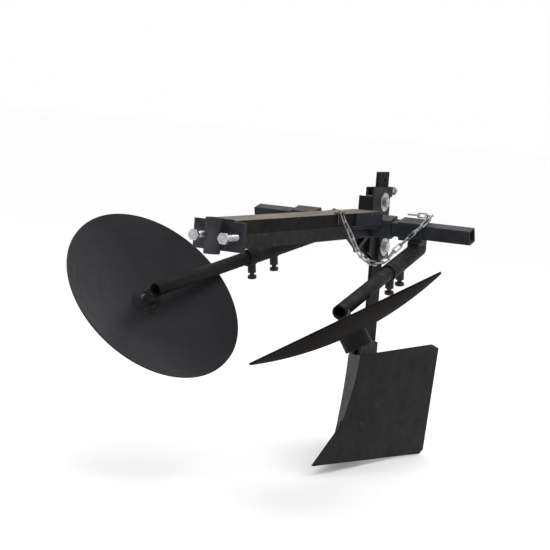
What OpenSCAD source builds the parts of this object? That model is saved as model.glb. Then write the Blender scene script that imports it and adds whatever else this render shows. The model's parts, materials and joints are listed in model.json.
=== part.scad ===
// Disc and share furrowing attachment for a walk-behind tractor.
// Millimetres. +Z is up, the tractor is towards -Y and the share follows behind at +Y.
// The origin is the middle of the kingpin bore in the hitch tube.

/* [Hitch] */
// Outside diameter of the kingpin tube
tube_od = 30; // [26:1:36]
// Bore of the kingpin tube
tube_bore = 20; // [16:1:22]
// Length of the kingpin tube
tube_len = 64; // [56:1:90]
// Plate beyond the right adjuster bolt
plate_margin_right = 15; // [12:1:22]
// Plate beyond the left adjuster bolt
plate_margin_left = 23; // [14:1:30]
// Height of the hitch plate
plate_h = 53; // [48:1:56]
// Thickness of the hitch plate
plate_t = 8; // [6:1:12]
// Thread diameter of the two side-play adjuster bolts
adjuster_d = 12; // [10:1:14]
// Distance between the two adjuster bolts
adjuster_pitch = 65; // [60:1:72]
// Gap between the right adjuster bolt and the side of the beam
adjuster_gap = 4; // [2:0.5:8]
// Bare thread between the plate and the right adjuster head
adjuster_reach_right = 42; // [30:1:50]
// Bare thread between the plate and the left adjuster head
adjuster_reach_left = 33; // [30:1:50]

/* [Beam] */
// Width of the beam
beam_w = 60; // [50:1:70]
// Height of the beam, two channels stacked
beam_h = 52; // [46:1:56]
// Wall of the beam channels
beam_wall = 4; // [3:0.5:6]
// Distance from the kingpin to the middle of the crossbar
bar_y = 618; // [480:5:740]

/* [Crossbar] */
// Side of the square crossbar
bar_side = 30; // [25:1:32]
// Wall of the crossbar
bar_wall = 3; // [2:0.5:4]
// Length of the crossbar
bar_len = 498; // [440:2:600]
// Outside of the crossbar socket and of the sliding collars
socket_side = 40; // [36:1:44]
// Length of the fixed socket
socket_len = 150; // [110:2:160]
// Length of each sliding collar
collar_len = 53; // [44:1:60]
// Roll of the crossbar, its top turned towards the tractor
bar_roll = 16; // [10:1:20]
// Middle of the right collar from the beam's centre line
collar_right_x = 119; // [116:1:132]
// Middle of the left collar from the beam's centre line
collar_left_x = 130; // [120:1:134]

/* [Disc arms] */
// Outside diameter of the arm sleeves
sleeve_od = 33.5; // [32:0.5:38]
// Length of the arm sleeves
sleeve_len = 232; // [200:4:260]
// How far the sleeve runs on behind the crossbar
sleeve_tail = 23; // [20:1:50]
// Where the sleeve crosses below the crossbar, from the centre line
sleeve_x = 127.6; // [124:0.2:130]
// Outside diameter of the arm tubes
arm_od = 26.8; // [24:0.1:27]
// Wall of the arm tubes
arm_wall = 3; // [2:0.5:4]
// Right arm tube in front of its sleeve
arm_reach_right = 307; // [230:1:340]
// Left arm tube in front of its sleeve
arm_reach_left = 280; // [230:1:340]
// Arm tube held inside its sleeve
arm_grip = 190; // [120:5:200]
// Slope of the right arm below the horizontal
arm_pitch_right = 8.6; // [6:0.1:12]
// Slope of the left arm below the horizontal
arm_pitch_left = 10.5; // [6:0.1:12]
// Splay of the arms outwards
arm_splay = 8.6; // [4:0.1:10]
// Roll of the right arm: how far its axle points above the horizontal
roll_right = 58.7; // [40:0.2:75]
// Roll of the left arm: how far its axle points above the horizontal
roll_left = 43.4; // [30:0.2:75]
// Tilt of the right axle along its arm
axle_tilt_right = -5.5; // [-8:0.2:8]
// Tilt of the left axle along its arm
axle_tilt_left = 0; // [-8:0.2:8]
// Diameter of the arm clamp screws
screw_d = 10; // [8:1:12]
// Distance between the two clamp screws of a sleeve
screw_pitch = 75; // [50:1:90]

/* [Discs] */
// Diameter of the discs
disc_d = 378; // [310:2:400]
// Depth of the dish
disc_dish = 30; // [20:1:30]
// Thickness of the disc steel
disc_t = 4; // [3:0.5:5]
// Arm centre line to the bottom of the dish
axle_reach = 43; // [42:1:60]
// Axle diameter
axle_d = 20; // [17:1:22]
// Outside diameter of the hub
hub_od = 52; // [50:1:58]
// Hub behind the disc
hub_back = 30; // [28:1:40]

/* [Share holder] */
// Thickness of the shank
shank_t = 8; // [6:1:10]
// Depth of the shank, front to back
shank_w = 50; // [45:1:52]
// Top of the shank above the kingpin's middle
shank_top = 109; // [100:1:140]
// Bottom of the shank below the kingpin's middle
shank_bottom = 420; // [400:5:440]
// Travel of the shank each way in its slots
shank_travel = 25; // [10:1:25]
// Thickness of the two cheeks
cheek_t = 5; // [4:0.5:8]
// Front-to-back size of the cheeks
cheek_w = 87; // [84:1:104]
// Diameter of the two cross bolts
cross_bolt_d = 12; // [10:1:14]
// Outside diameter of the wide washers
washer_d = 40; // [34:1:42]

/* [Share] */
// Full width across the rear edges of the wings
share_w = 200; // [150:2:260]
// Sheet of the wings
wing_t = 3; // [2:0.5:4]
// Plate of the breast
breast_t = 4; // [3:0.5:5]
// Half width of the breast at its top
breast_half_w = 13; // [11:0.5:16]

/* [Chain] */
// Wire of the chain
chain_wire = 3.2; // [2.6:0.1:3.4]
// Distance from link to link
chain_pitch = 20.5; // [18:0.5:26]

/* [Hidden] */
$fn = 48;
fit = 0.1;                 // radial clearance of tubes and pins that turn or slide
thread_fit = 0.05;         // radial clearance of a screw in its thread
slide_fit = 0.4;           // clearance of a square tube on the crossbar
shank_fit = 0.5;           // clearance of the shank to each cheek
seam_z = beam_h / 2 - 24;  // level at which the two channels meet

beam_top = beam_h / 2 + 2;
beam_bottom = beam_top - beam_h;
plate_y = tube_od / 2 - 1.5;
beam_y = plate_y + plate_t;
socket_reach = socket_side / 2 * (cos(bar_roll) + sin(bar_roll));
lower_end_y = bar_y - socket_side / 2 * (cos(bar_roll) - sin(bar_roll));
holder_y = bar_y + socket_reach;
front_plate_t = 5;
front_plate_w = 34;
front_plate_right = 12;
cheek_y = holder_y + front_plate_t;
cheek_top = 77;
cheek_bottom = -78;
cheek_x = shank_t / 2 + shank_fit;
cheek_back = cheek_y + cheek_w;
stop_t = 12;
front_foot = -62;
pad_t = 8;
pad_top = -28;
shank_y = cheek_back - shank_w - 3;
bolt_y = shank_y + shank_w / 2 - 3;
upper_bolt_z = 45;
lower_bolt_z = -50;
washer_t = 2.5;

sleeve_z = -42.5;
sleeve_bore = arm_od + 2 * fit;
mouth_y = sleeve_tail - sleeve_len;
screw_y = [mouth_y + 18, mouth_y + 18 + screw_pitch];
boss_d = 17;
boss_h = 17;

hub_front = 6;
hub_wall = 5;
bearing_w = 12;
lip_t = 3;
dish_radius = (pow(disc_d / 2, 2) + pow(disc_dish, 2)) / (2 * disc_dish);

// Share profile on the centre line: an arc from the top of the breast to the nose, then a straight nose.
breast_top = [bar_y + 20, -281];
nose_root = [bar_y - 41, -442];
nose_tip = [bar_y - 142, -496];
wing_front_n = 6;
breast_chord = norm(nose_root - breast_top);
breast_lean = atan2(breast_top[0] - nose_root[0], breast_top[1] - nose_root[1]);
breast_turn = 12;          // half the angle that the breast arc turns through
breast_radius = breast_chord / (2 * sin(breast_turn));
nose_half_w = wing_t;

black_paint = [0.17, 0.17, 0.18];
worn_paint = [0.30, 0.29, 0.28];
zinc = [0.78, 0.79, 0.80];
bright_steel = [0.62, 0.63, 0.65];

// ---------- small shapes ----------

// Square tube along X with rounded corners.
module square_tube(side, wall, length) {
    radius = side / 10;
    rotate([90, 0, 90])
        translate([0, 0, -length / 2])
            linear_extrude(length)
                difference() {
                    rounded_square(side, radius);
                    rounded_square(side - 2 * wall, max(radius - wall / 2, 0.6));
                }
}

module rounded_square(side, radius) {
    inner = side / 2 - radius;
    union() {
        square([side, side - 2 * radius], center = true);
        square([side - 2 * radius, side], center = true);
        for (x = [-inner, inner], y = [-inner, inner])
            translate([x, y]) circle(radius, $fn = 32);
    }
}

// Places its children in the crossbar's own rolled frame.
module bar_frame() {
    translate([0, bar_y, 0]) rotate([bar_roll, 0, 0]) children();
}

// Everything that the square crossbar socket fills, longer than it is.
module socket_space(extra = 0) {
    side = socket_side + extra;
    bar_frame() cube([socket_len + 40, side, side], center = true);
}

// Hexagon bolt along +Z with the head's bearing face at z = 0 and the head above it.
module hex_bolt(d, length, across, head_h) {
    union() {
        translate([0, 0, -length]) cylinder(h = length, d = d);
        cylinder(h = head_h, d = across / cos(30), $fn = 6);
    }
}

module hex_nut(d, across, height) {
    difference() {
        cylinder(h = height, d = across / cos(30), $fn = 6);
        translate([0, 0, -1]) cylinder(h = height + 2, d = d + 2 * thread_fit);
    }
}

// ---------- hitch ----------

module hitch_tube() {
    color(black_paint)
        difference() {
            translate([0, 0, -tube_len / 2]) cylinder(h = tube_len, d = tube_od);
            translate([0, 0, -tube_len / 2 - 1]) cylinder(h = tube_len + 2, d = tube_bore);
        }
}

adjuster_right_x = beam_w / 2 + adjuster_gap + adjuster_d / 2;
adjuster_left_x = adjuster_right_x - adjuster_pitch;
adjuster_tail = 10;

module hitch_plate() {
    color(black_paint)
        difference() {
            translate([adjuster_left_x - plate_margin_left, plate_y, -plate_h / 2])
                cube([plate_margin_left + adjuster_pitch + plate_margin_right, plate_t, plate_h]);
            translate([0, 0, -tube_len]) cylinder(h = 2 * tube_len, d = tube_od);
            for (x = [adjuster_left_x, adjuster_right_x])
                translate([x, plate_y - 1, 0])
                    rotate([-90, 0, 0])
                        cylinder(h = plate_t + 2, d = adjuster_d + 2 * thread_fit);
        }
}

module adjuster_bolt(x, reach, tail) {
    color(zinc)
        translate([x, plate_y - reach, 0])
            rotate([90, 0, 0])
                hex_bolt(adjuster_d, reach + plate_t + tail, 19, 7.5);
}

// The right bolt runs out beside the beam; the left one ends inside the plate, in front of it.
module adjuster_bolt_right() adjuster_bolt(adjuster_right_x, adjuster_reach_right, adjuster_tail);
module adjuster_bolt_left() adjuster_bolt(adjuster_left_x, adjuster_reach_left, -0.5);

// ---------- beam ----------

module channel(length, height) {
    difference() {
        translate([-beam_w / 2, 0, 0]) cube([beam_w, length, height]);
        translate([-beam_w / 2 + beam_wall, -1, -1])
            cube([beam_w - 2 * beam_wall, length + 2, height - beam_wall + 1]);
    }
}

module beam_upper_channel() {
    color(worn_paint)
        difference() {
            translate([0, beam_y, seam_z]) channel(holder_y - beam_y, beam_top - seam_z);
            socket_space();
        }
}

module beam_lower_channel() {
    color(black_paint)
        difference() {
            translate([0, beam_y, seam_z]) mirror([0, 0, 1])
                channel(lower_end_y - beam_y, seam_z - beam_bottom);
            socket_space();
        }
}

// Curved gusset that carries the beam's side out to the crossbar, with a shelf along its foot.
gusset_flare = 23;
gusset_run = 76;
gusset_t = 4;
shelf_t = 7;

module saddle_gusset() {
    turn = 2 * atan(gusset_flare / gusset_run);
    radius = gusset_run / sin(turn);
    start_y = bar_y - socket_reach - gusset_run + 2;
    difference() {
        union() {
            intersection() {
                translate([beam_w / 2 + radius, start_y, seam_z])
                    difference() {
                        cylinder(h = beam_top - seam_z, r = radius, $fn = 180);
                        translate([0, 0, -1])
                            cylinder(h = beam_h, r = radius - gusset_t, $fn = 180);
                    }
                translate([beam_w / 2, start_y, seam_z - 1])
                    cube([gusset_flare + gusset_t, gusset_run, beam_h]);
            }
            translate([beam_w / 2, start_y - 22, seam_z - shelf_t])
                linear_extrude(shelf_t)
                    polygon([
                        [0, 0], [6, 2], [7, gusset_run - 6], [gusset_flare, gusset_run + 20],
                        [gusset_flare, gusset_run + 30], [0, gusset_run + 30]
                    ]);
        }
        socket_space();
    }
}

module saddle_gusset_right() color(black_paint) saddle_gusset();
module saddle_gusset_left() color(black_paint) mirror([1, 0, 0]) saddle_gusset();

// ---------- crossbar and holder ----------

module crossbar_socket() {
    color(black_paint)
        bar_frame()
            square_tube(socket_side, (socket_side - bar_side) / 2 - slide_fit, socket_len);
}

module crossbar() {
    color(black_paint) bar_frame() square_tube(bar_side, bar_wall, bar_len);
}

module holder_front_plate() {
    color(black_paint)
        translate([front_plate_right - front_plate_w, holder_y, front_foot])
            cube([front_plate_w, front_plate_t, 58 - front_foot]);
}

module holder_cheek() {
    difference() {
        translate([cheek_x, 0, 0])
            rotate([90, 0, 90])
                linear_extrude(cheek_t)
                    polygon([
                        [cheek_y, front_foot], [shank_y, cheek_bottom], [cheek_back, cheek_bottom],
                        [cheek_back, cheek_top], [cheek_y, cheek_top]
                    ]);
        for (z = [upper_bolt_z, lower_bolt_z])
            translate([cheek_x - 1, bolt_y, z])
                rotate([0, 90, 0]) cylinder(h = cheek_t + 2, d = cross_bolt_d + 2 * fit);
    }
}

module holder_cheek_right() color(black_paint) holder_cheek();
module holder_cheek_left() color(black_paint) mirror([1, 0, 0]) holder_cheek();

// Thick flats outside the cheeks at the lower bolt.
module holder_pads() {
    pad_x = cheek_x + cheek_t;
    color(black_paint)
        for (side = [0, 1])
            mirror([side, 0, 0])
                difference() {
                    translate([pad_x, shank_y, cheek_bottom])
                        cube([pad_t, shank_w - 2, pad_top - cheek_bottom]);
                    translate([0, bolt_y, lower_bolt_z])
                        rotate([0, 90, 0]) cylinder(h = 60, d = cross_bolt_d + 2 * fit);
                }
}

gusset_rib_t = 6;

module under_gusset() {
    color(black_paint)
        difference() {
            translate([-gusset_rib_t / 2, 0, 0])
                rotate([90, 0, 90])
                    linear_extrude(gusset_rib_t)
                        polygon([
                            [holder_y - 98, beam_bottom], [holder_y - 41, beam_bottom - 33],
                            [holder_y - 8, beam_bottom - 37], [holder_y, beam_bottom - 41],
                            [holder_y, -15], [holder_y - 1, -11], [bar_y, beam_bottom]
                        ]);
            socket_space();
        }
}

module brace_bar() {
    color(worn_paint)
        difference() {
            translate([gusset_rib_t / 2, holder_y - 56, -56])
                rotate([29, 0, 0]) translate([0, -4, 0]) cube([8, 76, 9]);
            socket_space();
            translate([0, holder_y, -100]) cube([50, 50, 200]);
        }
}

module shank_stops() {
    color(black_paint)
        for (z = [12, -62])
            translate([-cheek_x, shank_y - 0.3 - stop_t, z])
                cube([2 * cheek_x, stop_t, 20]);
}

lock_z = 67;
lock_d = 10;
lock_point_d = 8;
lock_block_t = 10;

module lock_block() {
    color(black_paint)
        difference() {
            translate([-cheek_x - cheek_t, cheek_back, lock_z - 12])
                cube([2 * (cheek_x + cheek_t), lock_block_t, 22]);
            translate([0, cheek_back - 1, lock_z])
                rotate([-90, 0, 0]) cylinder(h = lock_block_t + 2, d = lock_d + 2 * thread_fit);
        }
}

module depth_lock_bolt() {
    reach = cheek_back + lock_block_t + 20;
    tip_y = shank_y + shank_w + 0.3;
    color(zinc)
        union() {
            translate([0, reach, lock_z])
                rotate([-90, 0, 0]) hex_bolt(lock_d, reach - cheek_back, 17, 7);
            translate([0, tip_y, lock_z])
                rotate([-90, 0, 0]) cylinder(h = cheek_back - tip_y + 1, d = lock_point_d);
        }
}

// Where each cross bolt sits: height, and the outside of what it clamps.
cross_bolt_seats = [
    [upper_bolt_z, cheek_x + cheek_t],
    [lower_bolt_z, cheek_x + cheek_t + pad_t]
];

module cross_bolts() {
    color(zinc)
        for (seat = cross_bolt_seats) {
            grip = seat[1] + washer_t;
            translate([grip, bolt_y, seat[0]]) rotate([0, 90, 0])
                hex_bolt(cross_bolt_d, 2 * grip + 15, 19, 7.5);
        }
}

module cross_bolt_washers() {
    color(zinc)
        for (seat = cross_bolt_seats)
            for (side = [-1, 1])
                translate([side * (seat[1] + washer_t / 2), bolt_y, seat[0]])
                    rotate([0, 90, 0])
                        difference() {
                            cylinder(h = washer_t, d = washer_d, center = true, $fn = 96);
                            cylinder(h = washer_t + 2, d = cross_bolt_d + 2 * fit, center = true);
                        }
}

module cross_bolt_nuts() {
    color(zinc)
        for (seat = cross_bolt_seats)
            translate([-seat[1] - washer_t, bolt_y, seat[0]])
                rotate([0, -90, 0]) hex_nut(cross_bolt_d, 19, 10);
}

// ---------- shank and share ----------

share_bolt_d = 10;
share_bolt_z = [-345, -400];

module shank() {
    slot_w = cross_bolt_d + 2 * fit + 0.4;
    color(black_paint)
        difference() {
            translate([-shank_t / 2, shank_y, -shank_bottom])
                cube([shank_t, shank_w, shank_top + shank_bottom]);
            for (z = [upper_bolt_z, lower_bolt_z])
                translate([-shank_t, bolt_y, z])
                    rotate([0, 90, 0])
                        linear_extrude(2 * shank_t)
                            union() {
                                square([2 * shank_travel, slot_w], center = true);
                                for (end = [-1, 1])
                                    translate([end * shank_travel, 0]) circle(d = slot_w);
                            }
            translate([-shank_t, shank_y + 29, 92]) rotate([0, 90, 0]) cylinder(h = 2 * shank_t, d = 8);
            for (z = share_bolt_z)
                translate([-shank_t, bolt_y, z])
                    rotate([0, 90, 0]) cylinder(h = 2 * shank_t, d = share_bolt_d + 2 * thread_fit);
        }
}

// Lean of the breast from the vertical at a share of its arc, and the point [y, z] there.
function lean_at(s) = breast_lean - breast_turn + 2 * breast_turn * s;
function breast_point(s) =
    let (a0 = lean_at(0), a1 = lean_at(s))
    [
        breast_top[0] - breast_radius * (cos(a0) - cos(a1)),
        breast_top[1] - breast_radius * (sin(a1) - sin(a0))
    ];
function breast_half(s) = nose_half_w + (breast_half_w - nose_half_w) * (1 - pow(s, 1.6));

// Front edge of the right wing from its top to the nose tip, as [x, y, z].
wing_front = concat(
    [for (i = [0:wing_front_n])
        let (s = i / wing_front_n, p = breast_point(s)) [breast_half(s), p[0], p[1]]],
    [for (i = [1:3])
        let (p = nose_root + (nose_tip - nose_root) * i / 3) [nose_half_w, p[0], p[1]]]
);
wing_last = len(wing_front) - 1;

// Rear edge of the right wing, top to bottom, with both corners cut off.
rear_upper = [share_w / 2 - 1, bar_y + 250, -277];
rear_lower = [share_w / 2 - 15, bar_y + 244, -509];
wing_rear = concat(
    [[share_w / 2 - 5, bar_y + 220, -266]],
    [for (i = [1:wing_last - 1]) rear_upper + (rear_lower - rear_upper) * (i - 1) / (wing_last - 2)],
    [[share_w / 2 - 20, bar_y + 236, -518]]
);

// Closed skin between two chains of points, each given as an outer and an inner chain.
module ruled_plate(front_out, rear_out, front_in, rear_in) {
    n = len(front_out);
    points = concat(front_out, rear_out, rear_in, front_in);
    polyhedron(
        points,
        concat(
            [for (ring = [0:3], i = [0:n - 2])
                let (a = ring * n + i, b = ((ring + 1) % 4) * n + i) [a, b, b + 1]],
            [for (ring = [0:3], i = [0:n - 2])
                let (a = ring * n + i, b = ((ring + 1) % 4) * n + i) [a, b + 1, a + 1]],
            [[3 * n, 2 * n, n, 0], [n - 1, 2 * n - 1, 3 * n - 1, 4 * n - 1]]
        )
    );
}

function shifted(points, dx) = [for (p = points) p + [dx, 0, 0]];
function mirrored(points) = [for (p = points) [-p[0], p[1], p[2]]];

module share_wing() {
    ruled_plate(
        wing_front, wing_rear, shifted(wing_front, -wing_t), shifted(wing_rear, -wing_t)
    );
}

module share_wing_right() color(black_paint) share_wing();
module share_wing_left() color(black_paint) mirror([1, 0, 0]) share_wing();

module share_breast() {
    stations = [for (i = [0:wing_front_n - 1]) i / wing_front_n];
    back = [for (s = stations) let (p = breast_point(s)) [breast_half(s), p[0], p[1]]];
    front = [for (s = stations)
        let (p = breast_point(s), a = lean_at(s), t = breast_t * (1 - 0.5 * s))
        [breast_half(s) - 0.6, p[0] - t * cos(a), p[1] + t * sin(a)]];
    color(worn_paint)
        ruled_plate(mirrored(front), mirrored(back), front, back);
}

// Web between the wings behind the breast; its sides lie on the wings' inner faces.
web_y = bar_y + 35;
web_t = 6;

module share_web() {
    inner_front = shifted(wing_front, -wing_t);
    inner_rear = shifted(wing_rear, -wing_t);
    color(black_paint)
        intersection() {
            ruled_plate(inner_front, inner_rear, mirrored(inner_front), mirrored(inner_rear));
            translate([-100, web_y, -420]) cube([200, web_t, 125]);
        }
}

rib_x = shank_t / 2 + 0.2;
rib_t = 6;

module share_ribs() {
    rib_y = web_y + web_t;
    color(black_paint)
        for (side = [0, 1])
            mirror([side, 0, 0])
                difference() {
                    translate([rib_x, 0, 0])
                        rotate([90, 0, 90])
                            linear_extrude(rib_t)
                                polygon([
                                    [rib_y, -420], [rib_y, -290], [bar_y + 24, -284],
                                    [bar_y + 33, -254], [shank_y, -250],
                                    [shank_y + shank_w, -262], [shank_y + shank_w, -420]
                                ]);
                    for (z = share_bolt_z)
                        translate([0, bolt_y, z]) rotate([0, 90, 0])
                            cylinder(h = 30, d = share_bolt_d + 2 * thread_fit);
                }
}

module share_bolts() {
    grip = rib_x + rib_t;
    color(zinc)
        for (z = share_bolt_z)
            translate([grip, bolt_y, z]) rotate([0, 90, 0])
                hex_bolt(share_bolt_d, 2 * grip + 11, 17, 6.5);
}

module share_nuts() {
    color(zinc)
        for (z = share_bolt_z)
            translate([-rib_x - rib_t, bolt_y, z]) rotate([0, -90, 0]) hex_nut(share_bolt_d, 17, 8);
}

// ---------- collars, sleeves and arms ----------

// Frame of an arm: origin below the crossbar on the sleeve's axis, -Y along the arm.
module arm_frame(side) {
    mirror([side < 0 ? 1 : 0, 0, 0])
        translate([sleeve_x, bar_y, sleeve_z])
            rotate([side > 0 ? arm_pitch_right : arm_pitch_left, 0, arm_splay])
                children();
}

module along_arm(y0, y1, d) {
    translate([0, y0, 0]) rotate([-90, 0, 0]) cylinder(h = y1 - y0, d = d);
}

function arm_front(side) = mouth_y - (side > 0 ? arm_reach_right : arm_reach_left);
function axle_tilt(side) = side > 0 ? axle_tilt_right : axle_tilt_left;
axle_inset = 12;

function collar_x(side) = side > 0 ? collar_right_x : collar_left_x;

module collar(side) {
    pad_w = 26;
    color(black_paint)
        difference() {
            union() {
                translate([side * collar_x(side), 0, 0]) bar_frame()
                    square_tube(socket_side, (socket_side - bar_side) / 2 - slide_fit, collar_len);
                difference() {
                    translate([side * sleeve_x - pad_w / 2, bar_y - 15, sleeve_z + 4])
                        cube([pad_w, 40, -sleeve_z]);
                    socket_frame_cut(side);
                }
            }
            arm_frame(side) along_arm(-300, 100, sleeve_od);
        }
}

// The space above the collar's underside, in which the weld pad has no place.
module socket_frame_cut(side) {
    translate([side * sleeve_x, 0, 0]) bar_frame()
        translate([0, 0, 50 - socket_side / 2]) cube([80, 90, 100], center = true);
}

module collar_right() collar(1);
module collar_left() collar(-1);

module sleeve(side) {
    color(black_paint)
        arm_frame(side)
            difference() {
                along_arm(mouth_y, sleeve_tail, sleeve_od);
                along_arm(mouth_y - 1, sleeve_tail + 1, sleeve_bore);
                for (y = screw_y)
                    translate([0, y, -sleeve_od]) cylinder(h = sleeve_od, d = screw_d + 2 * thread_fit);
            }
}

module sleeve_right() sleeve(1);
module sleeve_left() sleeve(-1);

module clamp_bosses(side) {
    color(worn_paint)
        arm_frame(side)
            for (y = screw_y)
                difference() {
                    translate([0, y, -sleeve_od / 2 - boss_h]) cylinder(h = boss_h + 4, d = boss_d);
                    along_arm(mouth_y - 1, sleeve_tail + 1, sleeve_od);
                    translate([0, y, -60]) cylinder(h = 60, d = screw_d + 2 * thread_fit);
                }
}

module clamp_bosses_right() clamp_bosses(1);
module clamp_bosses_left() clamp_bosses(-1);

screw_bare = 6;

module clamp_screw(side, index) {
    head_z = -sleeve_od / 2 - boss_h - screw_bare;
    color(zinc)
        arm_frame(side)
            translate([0, screw_y[index], head_z])
                rotate([180, 0, 0])
                    hex_bolt(screw_d, -head_z - arm_od / 2 - thread_fit, 17, 7);
}

module clamp_screw_right_front() clamp_screw(1, 0);
module clamp_screw_right_rear() clamp_screw(1, 1);
module clamp_screw_left_front() clamp_screw(-1, 0);
module clamp_screw_left_rear() clamp_screw(-1, 1);

module arm_tube(side) {
    color(black_paint)
        arm_frame(side)
            difference() {
                along_arm(arm_front(side), mouth_y + arm_grip, arm_od);
                along_arm(arm_front(side) - 1, mouth_y + arm_grip + 1, arm_od - 2 * arm_wall);
            }
}

module arm_tube_right() arm_tube(1);
module arm_tube_left() arm_tube(-1);

// Frame of an axle: +Z from the disc towards the arm, origin on the arm's axis.
module axle_frame(side) {
    arm_frame(side)
        translate([0, arm_front(side) + axle_inset, 0])
            rotate([0, (side > 0 ? roll_right : roll_left) - 90, 0])
                rotate([axle_tilt(side), 0, 0])
                    children();
}

hub_z = -axle_reach - hub_back;
bearing_d = hub_od - 2 * hub_wall;
bearing_front_z = -axle_reach + hub_front - lip_t - bearing_w;
bearing_back_z = hub_z + 5;
axle_end_z = hub_z + 3.6;
clip_t = 1.2;

module axle(side) {
    color(bright_steel)
        axle_frame(side)
            difference() {
                union() {
                    translate([0, 0, axle_end_z]) cylinder(h = -axle_end_z, d = axle_d);
                    translate([0, 0, bearing_front_z + bearing_w])
                        cylinder(h = -bearing_front_z - bearing_w, d = axle_d + 6);
                }
                rotate([90 - axle_tilt(side), 0, 0])
                    cylinder(h = 80, d = arm_od, center = true);
                translate([0, 0, bearing_back_z - clip_t])
                    difference() {
                        cylinder(h = clip_t, d = axle_d + 4);
                        translate([0, 0, -1]) cylinder(h = clip_t + 2, d = axle_d - 2);
                    }
            }
}

module axle_right() axle(1);
module axle_left() axle(-1);

// A deep-groove bearing as one ring that stays on the axle.
module hub_bearings(side) {
    color(bright_steel)
        axle_frame(side)
            for (z = [bearing_front_z, bearing_back_z])
                translate([0, 0, z])
                    difference() {
                        cylinder(h = bearing_w - 0.1, d = bearing_d - 2 * thread_fit);
                        translate([0, 0, -1]) cylinder(h = bearing_w + 2, d = axle_d);
                    }
}

module hub_bearings_right() hub_bearings(1);
module hub_bearings_left() hub_bearings(-1);

module axle_clip(side) {
    color(bright_steel)
        axle_frame(side)
            translate([0, 0, bearing_back_z - clip_t])
                difference() {
                    cylinder(h = clip_t, d = axle_d + 4);
                    translate([0, 0, -1]) cylinder(h = clip_t + 2, d = axle_d - 2);
                }
}

module axle_clip_right() axle_clip(1);
module axle_clip_left() axle_clip(-1);

module hub(side) {
    color(black_paint)
        axle_frame(side)
            difference() {
                translate([0, 0, hub_z]) cylinder(h = hub_back + hub_front, d = hub_od);
                translate([0, 0, hub_z - 1])
                    cylinder(h = hub_back + hub_front - lip_t + 1, d = bearing_d);
                translate([0, 0, hub_z]) cylinder(h = hub_back + 20, d = bearing_d - 6);
            }
}

module hub_right() hub(1);
module hub_left() hub(-1);

module hub_cap(side) {
    color(black_paint)
        axle_frame(side) translate([0, 0, hub_z]) cylinder(h = 3, d = bearing_d);
}

module hub_cap_right() hub_cap(1);
module hub_cap_left() hub_cap(-1);

module bearing_spacer(side) {
    z0 = bearing_back_z + bearing_w;
    color(bright_steel)
        axle_frame(side)
            translate([0, 0, z0 + 0.1])
                difference() {
                    cylinder(h = bearing_front_z - z0 - 0.3, d = bearing_d);
                    translate([0, 0, -1]) cylinder(h = bearing_w, d = bearing_d - 6);
                }
}

module bearing_spacer_right() bearing_spacer(1);
module bearing_spacer_left() bearing_spacer(-1);

// Dished disc: a ring of a spherical shell, hollow side towards the arm.
dish_steps = 14;
disc_set_left = 3;         // how much further back the left disc sits on its hub

function dish_z(r, radius) = radius - sqrt(radius * radius - r * r);

module disc(side) {
    rim = disc_d / 2;
    hole = hub_od / 2;
    step = (rim - hole) / dish_steps;
    color(black_paint)
        axle_frame(side)
            translate([0, 0, -axle_reach - (side > 0 ? 0 : disc_set_left)])
                rotate_extrude($fn = 180)
                    polygon(concat(
                        [for (i = [0:dish_steps])
                            let (r = hole + i * step) [r, dish_z(r, dish_radius)]],
                        [for (i = [dish_steps:-1:0])
                            let (r = hole + i * step) [r, dish_z(r, dish_radius + disc_t) - disc_t]]
                    ));
}

module disc_right() disc(1);
module disc_left() disc(-1);

// ---------- chain ----------

link_slack = 1.3;
link_len = chain_pitch + 2 * chain_wire + link_slack;
link_w = 3.6 * chain_wire;

// The chain's route: off the beam's edge, down in a sag, up over the right collar's outer corner.
chain_route = [
    [36.2, 440, 31.6], [41, 451, 11], [49, 463, -10], [58, 472, -34], [69, 489, -59],
    [84, 515, -69], [94, 547, -62], [101, 573, -42], [118, 587, -20], [140, 584, 2], [160, 594, 24]
];
// Where its last links meet, over the crossbar and along the top of the collar.
tail_points = [[160.5, 598, 27], [157, 617, 33], [141.5, 630, 31], [121.5, 633, 30], [101.5, 631, 30]];
tail_rolls = [30, 105, 0, 90, 0];
chain_roll = 70;

// Smooth curve through the route, u counting its points.
function route_at(u) =
    let (
        n = len(chain_route),
        i = min(floor(u), n - 2),
        t = u - i,
        p1 = chain_route[i],
        p2 = chain_route[i + 1],
        p0 = i > 0 ? chain_route[i - 1] : 2 * p1 - p2,
        p3 = i < n - 2 ? chain_route[i + 2] : 2 * p2 - p1
    )
    0.5 * (2 * p1 + t * (p2 - p0) + t * t * (2 * p0 - 5 * p1 + 4 * p2 - p3)
        + t * t * t * (3 * p1 - p0 - 3 * p2 + p3));

route_steps = 10 * (len(chain_route) - 1);
route_points = [for (i = [0:route_steps]) route_at(i / 10)];
function run_to(i) = i == 0 ? 0 : run_to(i - 1) + norm(route_points[i] - route_points[i - 1]);
route_table = [for (i = [0:route_steps]) [run_to(i), i / 10]];
run_links = floor(route_table[route_steps][0] / chain_pitch);
// Points at which neighbouring links meet.
link_joints = concat(
    [for (i = [0:run_links]) route_at(lookup(i * chain_pitch, route_table))],
    tail_points
);

// One chain link about the origin, long axis on X, flat in the XY plane.
module chain_link() {
    r = (link_w - chain_wire) / 2;
    half = (link_len - link_w) / 2;
    union() {
        for (end = [-1, 1]) {
            translate([0, end * r, 0]) rotate([0, 90, 0])
                cylinder(h = 2 * half, d = chain_wire, center = true, $fn = 16);
            translate([end * half, 0, 0]) rotate([0, 0, end < 0 ? 90 : -90])
                rotate_extrude(angle = 180, $fn = 24)
                    translate([r, 0]) circle(d = chain_wire, $fn = 16);
        }
    }
}

// Turns the X axis onto direction d, then rolls about it.
module along(d, roll) {
    flat = norm([d[0], d[1]]);
    rotate([0, -atan2(d[2], flat), atan2(d[1], d[0])]) rotate([roll, 0, 0]) children();
}

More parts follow.
